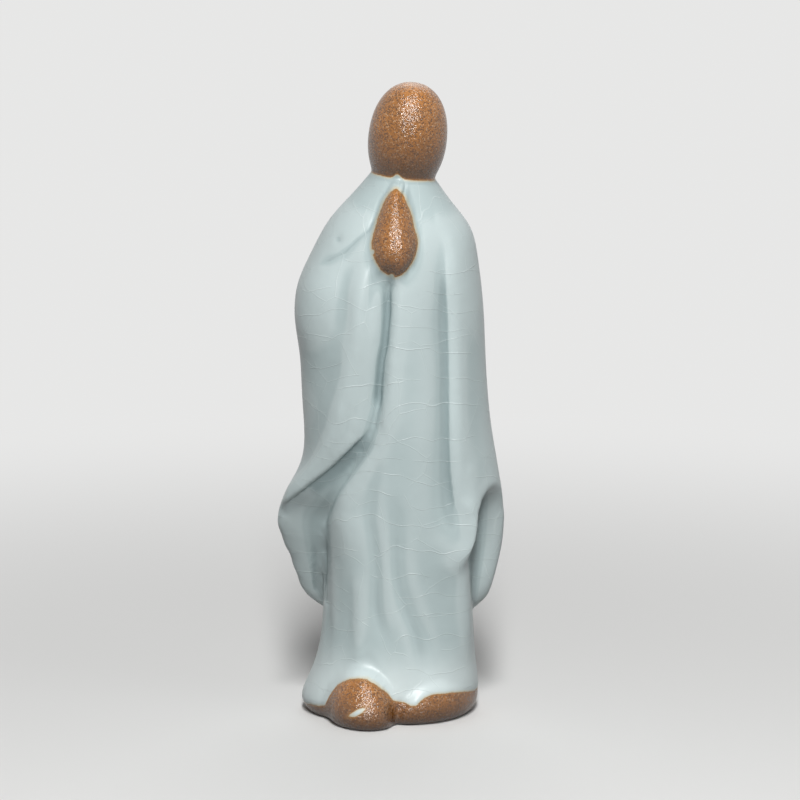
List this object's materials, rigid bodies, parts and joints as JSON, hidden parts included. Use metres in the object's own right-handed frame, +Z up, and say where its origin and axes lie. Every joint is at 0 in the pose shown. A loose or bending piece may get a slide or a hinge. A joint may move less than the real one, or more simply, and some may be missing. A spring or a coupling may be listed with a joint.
{
  "type": "ceramic monk statue",
  "caption": "Small standing robed monk with joined hands and a smooth egg-shaped head, slip cast with a vent in its flat base.",
  "frame": {"origin": "on the ground under the middle of the statue's bounding box", "axes": "+Z up, the monk faces -Y, +X to the viewer's right"},
  "size_m": [0.046, 0.0362, 0.1286],
  "materials": {
    "glazed_stoneware": "glossy crackled celadon glaze over the robe, bare speckled brown clay on the head, hands, shoes and base edge"
  },
  "bodies": {
    "root": {"monk_statue": "glazed_stoneware"}
  },
  "joints": []
}
